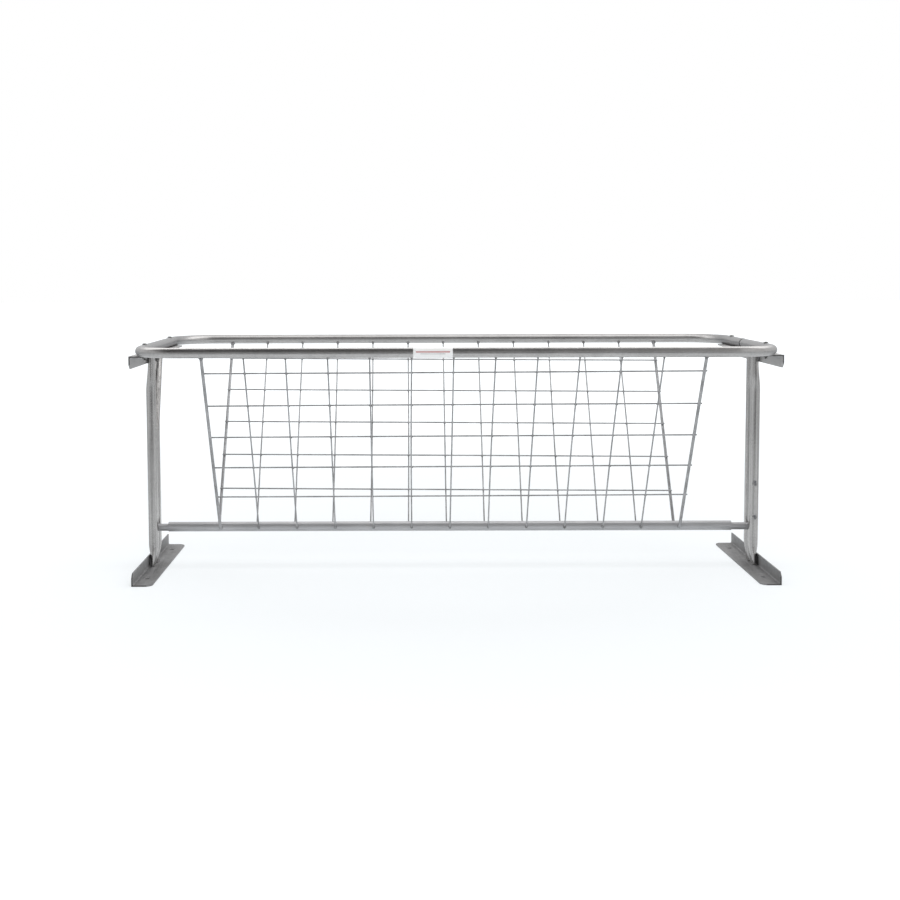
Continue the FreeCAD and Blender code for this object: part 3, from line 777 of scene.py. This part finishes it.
def make_panel(name, panel, chance):
    top, down, inward, length = hang(panel)
    xs, downs = crossings(panel)
    first_end = top + down * TUBE
    upright_length = length - TUBE
    for hand, x in (("left", xs[0]), ("right", xs[-1])):
        start = first_end + Vector((x, 0, 0)) - inward * (EDGE_ROD - WIRE)
        bow = Vector((chance.uniform(-0.0006, 0.0006), 0, 0))
        rod = make_wire(f"{name}_{hand}_edge_rod", start, down, upright_length, EDGE_ROD, 16, bow)
        put_in(rod, WIRE_ZINC, "galvanised_wire", f"{name}_edge_rod_{hand}")
    for i, x in enumerate(xs[1:-1], start=1):
        start = first_end + Vector((x, 0, 0))
        bow = Vector((chance.uniform(-0.0016, 0.0016), 0, 0))
        wire = make_wire(f"{name}_upright_{i:02d}", start, down, upright_length, WIRE, 10, bow)
        put_in(wire, WIRE_ZINC, "galvanised_wire", f"{name}_upright_wire_{i:02d}")
    along = Vector((12 * PITCH, 0, 0)) + down * panel["skew"]
    reach = along.length / 2 + panel["over"]
    along.normalize()
    for i, distance in enumerate(downs, start=1):
        middle = top + Vector((panel["shift"], 0, 0)) + down * distance + inward * (2 * WIRE)
        bow = down * chance.uniform(-0.0008, 0.0008)
        wire = make_wire(f"{name}_cross_{i}", middle - along * (reach - panel["slid"]), along,
                         2 * reach, WIRE, 10, bow)
        put_in(wire, WIRE_ZINC, "galvanised_wire", f"{name}_cross_wire_{i}")
    make_panel_welds(name, panel, along, chance)


# ----------------------------------------------------------------------- welds


def turned_rings(name, start, along, rings, sides):
    """A closed turned shape: rings of (distance, radius) along a line."""
    along, start = Vector(along).normalized(), Vector(start)
    distance, radius = rings[0]
    shape = start_ring(name, start + along * distance, along, radius, sides)
    bpy.ops.mesh.edge_face_add()
    for next_distance, next_radius in rings[1:]:
        pull(along * (next_distance - distance))
        scale((next_radius / radius,) * 3, start + along * next_distance)
        distance, radius = next_distance, next_radius
    finish_mesh(60)
    return shape


def weld_spot(name, centre, along, length, radius, sides=8):
    """A rounded spot of weld, longer along the wire than across it."""
    rings = [(-0.5, 0.30), (-0.38, 0.75), (-0.12, 1.0), (0.16, 0.97), (0.40, 0.70), (0.5, 0.28)]
    rings = [(distance * length, size * radius) for distance, size in rings]
    return turned_rings(name, centre, along, rings, sides)


def weld_flare(name, start, along, wire, sides=12):
    """Weld that spreads from a wire onto the rail it hangs from."""
    rings = [(-0.0022, 0.0028), (-0.0006, 0.0029), (0.0008, 0.0021), (0.0028, 0.0011),
             (0.0055, 0.0004), (0.0068, -0.0002)]
    return turned_rings(name, start, along, [(d, wire + out) for d, out in rings], sides)


def weld_bead(name, start, end, radius, sides=10):
    """A run of weld with the ripples of its pools."""
    start, end = Vector(start), Vector(end)
    length = (end - start).length
    pools = max(3, round(length / (radius * 0.9)))
    step = length / pools
    rings = [(0.0, radius * 0.35)]
    for i in range(pools):
        rings += [((i + 0.35) * step, radius * (1.0 + 0.06 * (i % 2))),
                  ((i + 0.85) * step, radius * 0.84)]
    rings += [(length, radius * 0.4)]
    return turned_rings(name, start, end - start, rings, sides)


def spread(pattern, places, chance):
    """Copies of one weld at several moves, each a little larger or smaller."""
    centre = sum((vertex.co for vertex in pattern.data.vertices), Vector())
    centre /= len(pattern.data.vertices)
    twins = [pattern]
    for i, move in enumerate(places):
        size = chance.uniform(0.86, 1.16)
        turn = Matrix.Rotation(chance.uniform(-0.3, 0.3), 4, "X")
        place = Matrix.Translation(centre + move) @ turn @ Matrix.Scale(size, 4)
        twins.append(copy_of(pattern, f"{pattern.name}_{i}", place @ Matrix.Translation(-centre)))
    return twins


def make_panel_welds(name, panel, along, chance):
    """Spots where wires cross, flares under the ring and spots on the bottom rail."""
    top, down, inward, length = hang(panel)
    xs, downs = crossings(panel)
    middle_x = panel["shift"]
    slope = panel["skew"] / (12 * PITCH)

    spots = []
    for distance in downs:
        for x in xs:
            drop = distance + (x - middle_x) * slope
            spots.append(top + Vector((x, 0, 0)) + down * drop + inward * (WIRE * 1.05))
    pattern = weld_spot(f"{name}_crossing_weld", spots[0], (1, 0, 0), 0.0062, 0.0027)
    welds = joined(f"{name}_crossing_welds",
                   spread(pattern, [spot - spots[0] for spot in spots[1:]], chance))
    put_in(welds, WELD, "galvanised_wire")

    twins = []
    for wire, group in ((EDGE_ROD, (xs[0], xs[-1])), (WIRE, xs[1:-1])):
        offset = -inward * (wire - WIRE)
        first = top + down * TUBE + offset + Vector((group[0], 0, 0))
        pattern = weld_flare(f"{name}_flare_{wire}", first, down, wire)
        twins += spread(pattern, [Vector((x - group[0], 0, 0)) for x in group[1:]], chance)
        low = top + down * (length - 0.0015) + Vector((group[0], 0, 0)) + inward * 0.0012
        pattern = weld_spot(f"{name}_foot_{wire}", low, down, 0.0095, wire * 0.9 + 0.0018, 10)
        twins += spread(pattern, [Vector((x - group[0], 0, 0)) for x in group[1:]], chance)
    put_in(joined(f"{name}_rail_welds", twins), WELD, "galvanised_wire")


def make_stand_welds(hand, side):
    """Beads round the stub, along the blades on the foot and under the top plate."""
    beads = []
    rear_top = leaning if hand == "left" else straight(1)

    def bead(start, end, radius):
        beads.append(weld_bead(f"{hand}_bead_{len(beads)}", start, end, radius))

    for sign in (-1, 1):
        # the stub, on both sides of each leg
        for x in (0.7852, 0.8035):
            start = Vector((side * x, sign * 0.0105, STUB_Z - 0.0088))
            bead(start, start + Vector((0, 0, 0.0176)), 0.0024)
        # the blade on the foot's plate
        for x in (LEG_X - 0.0033, LEG_X + 0.0033):
            start = Vector((side * x, sign * LEG_Y - 0.0165, ANGLE_THICK + 0.0004))
            bead(start, start + Vector((0, 0.033, 0)), 0.0018)
        # the oval against the upper plate
        lean = straight(-1) if sign < 0 else rear_top
        y = lean(UNDER_RING - 0.006)
        start = Vector((side * (OVAL["x"] - 0.0080), y - 0.0085, PLATE_UNDER - 0.0009))
        bead(start, start + Vector((0, 0.017, 0)), 0.0022)
        # and against the upper flange
        start = Vector((side * 0.8040, y - 0.0085, 0.5445))
        end = Vector((side * 0.8040, y - 0.0110, 0.5660))
        bead(start, end, 0.0020)
    put_in(joined(f"{hand}_stand_welds", beads), WELD, "galvanised_tube")


# ----------------------------------------------------------------------- label


def make_label():
    """A thin label wrapped round the front of the front rail."""
    radius = TUBE + 0.00025
    start = (LABEL_X - LABEL_HALF, -RING_Y, RING_Z)
    label = start_ring("wrapped_label", start, (1, 0, 0), radius, 96)
    pick(label, lambda co: math.atan2(abs(co.z - RING_Z), -(co.y + RING_Y)) > LABEL_WRAP)
    bpy.ops.mesh.delete(type="VERT")
    bpy.ops.mesh.select_all(action="SELECT")
    for step in (0.003, 2 * LABEL_HALF - 0.006, 0.003):
        pull((step, 0, 0))
    finish_mesh()
    thicken(label, 0.0002, way=1)
    return put_in(label, VINYL, "paper_label", "blank_label")


# -------------------------------------------------------------------- assembly

make_ring()
make_bottom_rail()
make_leg("left_front_leg_tube", -1, straight(-1), "left_front_leg")
make_leg("left_rear_leg_tube", -1, leaning, "left_rear_leg")
make_leg("right_front_leg_tube", 1, straight(-1), "right_front_leg")
make_leg("right_rear_leg_tube", 1, straight(1), "right_rear_leg")
for side, hand in ((-1, "left"), (1, "right")):
    make_angle(f"{hand}_foot_angle", side, 1, FOOT_HEEL, 0.0, f"{hand}_foot")
    make_angle(f"{hand}_top_angle", side, -1, RING_X + BOLT_LINE, UNDER_RING,
               f"{hand}_top_bracket")
    make_stand_welds(hand, side)
make_fasteners()
chance = random.Random(7)
for name, panel in PANELS.items():
    make_panel(name, panel, chance)
make_label()

# ----------------------------------------------------------------------- studio

# grey levels of the world's light, at half their strength
WORLD_OVER = ((0.0, 0.20), (0.09, 0.16), (0.14, 0.05), (0.17, 0.030), (0.50, 0.030),
              (0.58, 0.10), (0.64, 0.42), (0.80, 0.50), (1.0, 0.46))
WORLD_SIDES = ((0.25, 0.0), (0.45, 0.12), (0.62, 0.34), (0.85, 0.42))


def paint_floor():
    """A pale glowing floor, slightly blue; the glow the camera sees is dimmer near the rack,
    painted shade round it.  Reflections see it white round the rack and dark towards the
    camera's side, painted as a lit sheet on a dark studio floor is."""
    shown_far, shown_near, lit_glow = 0.36, 0.62, 0.08
    floor = Finish("pale_floor", roughness=0.7)
    tint = floor.noise(floor.stretched(0.8, 0.8, 0.8), 2.0)
    pale = floor.mix(tint, (0.80, 0.83, 0.85, 1), (0.82, 0.85, 0.865, 1))
    x, y = floor.axis("X"), floor.axis("Y")
    ahead = (y * -1 - 1.3) * 0.5
    beside = ((x - 0.2).math("ABSOLUTE") - 1.2) * 0.7
    lit = (1 - ahead.ramp((0.0, 0), (1.0, 1))).math("MAXIMUM", beside.ramp((0.0, 0), (1.0, 1)))
    rays = floor.node("ShaderNodeLightPath", {}, {}, "Is Camera Ray")
    shade = floor.mix(rays, floor.mix(lit, (0.05, 0.05, 0.05, 1), pale), (0.30, 0.31, 0.315, 1))
    floor.feed(base_color=shade)
    # painted shade: the camera sees the glow dimmer near the rack
    away = (x * x + y * y).math("SQRT") * 0.25
    shown = away.ramp((0.15, 0), (1.0, 1)) * shown_far + shown_near
    strength = rays * shown + (1 - rays) * (lit * lit_glow)
    floor.feed(emission_color=floor.mix(strength, (0, 0, 0, 1), (0.95, 0.98, 1.0, 1)))
    floor.shader.inputs["Emission Strength"].default_value = 1.0
    return floor.material


def build_floor():
    bpy.ops.object.select_all(action="DESELECT")
    bpy.ops.mesh.primitive_plane_add(size=60, location=(0, 0, 0))
    floor = bpy.context.object
    floor.name = "floor"
    floor.data.materials.append(paint_floor())


def light_world():
    """White behind the rack, brightest over and behind it, dark above the camera."""
    world = bpy.data.worlds.new("studio")
    bpy.context.scene.world = world
    world.use_nodes = True
    nodes, links = world.node_tree.nodes, world.node_tree.links
    nodes.clear()

    def add(kind, settings, sockets, output=0):
        made = nodes.new(kind)
        for setting, value in settings.items():
            setattr(made, setting, value)
        for socket, value in sockets.items():
            if isinstance(value, bpy.types.NodeSocket):
                links.new(value, made.inputs[socket])
            else:
                made.inputs[socket].default_value = value
        return made.outputs[output] if len(made.outputs) else None

    def ramp(source, stops):
        made = add("ShaderNodeValToRGB", {}, {"Fac": source}).node
        while len(made.color_ramp.elements) < len(stops):
            made.color_ramp.elements.new(0.99)
        for element, (place, level) in zip(made.color_ramp.elements, stops):
            element.position = place
            element.color = (level, level, level, 1)
        return made.outputs["Color"]

    where = add("ShaderNodeTexCoord", {}, {}, "Generated")
    parts = nodes.new("ShaderNodeSeparateXYZ")
    links.new(where, parts.inputs[0])
    x, y, z = parts.outputs
    # the angle over the top: 0 at the camera's horizon, 0.5 overhead, 1 behind
    front = add("ShaderNodeMath", {"operation": "MULTIPLY"}, {0: y, 1: -1.0})
    over = add("ShaderNodeMath", {"operation": "ARCTAN2"}, {0: z, 1: front})
    over = add("ShaderNodeMath", {"operation": "DIVIDE"}, {0: over, 1: math.pi})
    level = ramp(over, WORLD_OVER)
    # the two sides, brighter away from the camera's own direction
    aside = add("ShaderNodeMath", {"operation": "SUBTRACT"}, {0: x, 1: -0.25})
    aside = add("ShaderNodeMath", {"operation": "ABSOLUTE"}, {0: aside})
    sides = ramp(aside, WORLD_SIDES)
    level = add("ShaderNodeMath", {"operation": "MAXIMUM"}, {0: level, 1: sides})
    level = add("ShaderNodeMath", {"operation": "MULTIPLY"}, {0: level, 1: 2.0})

    shown = add("ShaderNodeBackground", {}, {"Color": (1, 1, 1, 1)})
    lit = add("ShaderNodeBackground", {}, {"Color": level})
    camera_ray = add("ShaderNodeLightPath", {}, {}, "Is Camera Ray")
    both = add("ShaderNodeMixShader", {}, {0: camera_ray, 1: lit, 2: shown})
    add("ShaderNodeOutputWorld", {}, {"Surface": both})


def add_lamp(name, place, aim, size, watts, glossy=True):
    lamp = bpy.data.lights.new(name, "AREA")
    lamp.shape = "RECTANGLE"
    lamp.size, lamp.size_y = size
    lamp.energy = watts
    holder = bpy.data.objects.new(name, lamp)
    bpy.context.collection.objects.link(holder)
    holder.location = place
    holder.rotation_euler = (Vector(aim) - Vector(place)).to_track_quat("-Z", "Y").to_euler()
    holder.visible_camera = False
    holder.visible_glossy = glossy


def set_camera():
    lens = bpy.data.cameras.new("camera")
    lens.lens = 53.586
    lens.sensor_width = 36
    lens.shift_x = 0.0469
    lens.shift_y = -0.1312
    lens.clip_end = 100
    camera = bpy.data.objects.new("camera", lens)
    bpy.context.collection.objects.link(camera)
    camera.location = (-0.1189, -3.5496, 0.7806)
    camera.rotation_euler = (math.pi / 2 - 0.045, 0.0026, 0)
    bpy.context.scene.camera = camera


build_floor()
light_world()
add_lamp("overhead_soft_light", (0, -0.3, 4.0), (0, 0, 0), (4, 4), 45, glossy=False)
add_lamp("strip_over_the_rack", (0, 0.18, 1.25), (0, 0.18, 0), (3.2, 0.7), 10)
add_lamp("front_fill_light", (-0.5, -4.5, 2.2), (0, 0, 0.3), (3, 2), 60, glossy=False)
set_camera()
bpy.context.scene.view_settings.view_transform = "Standard"
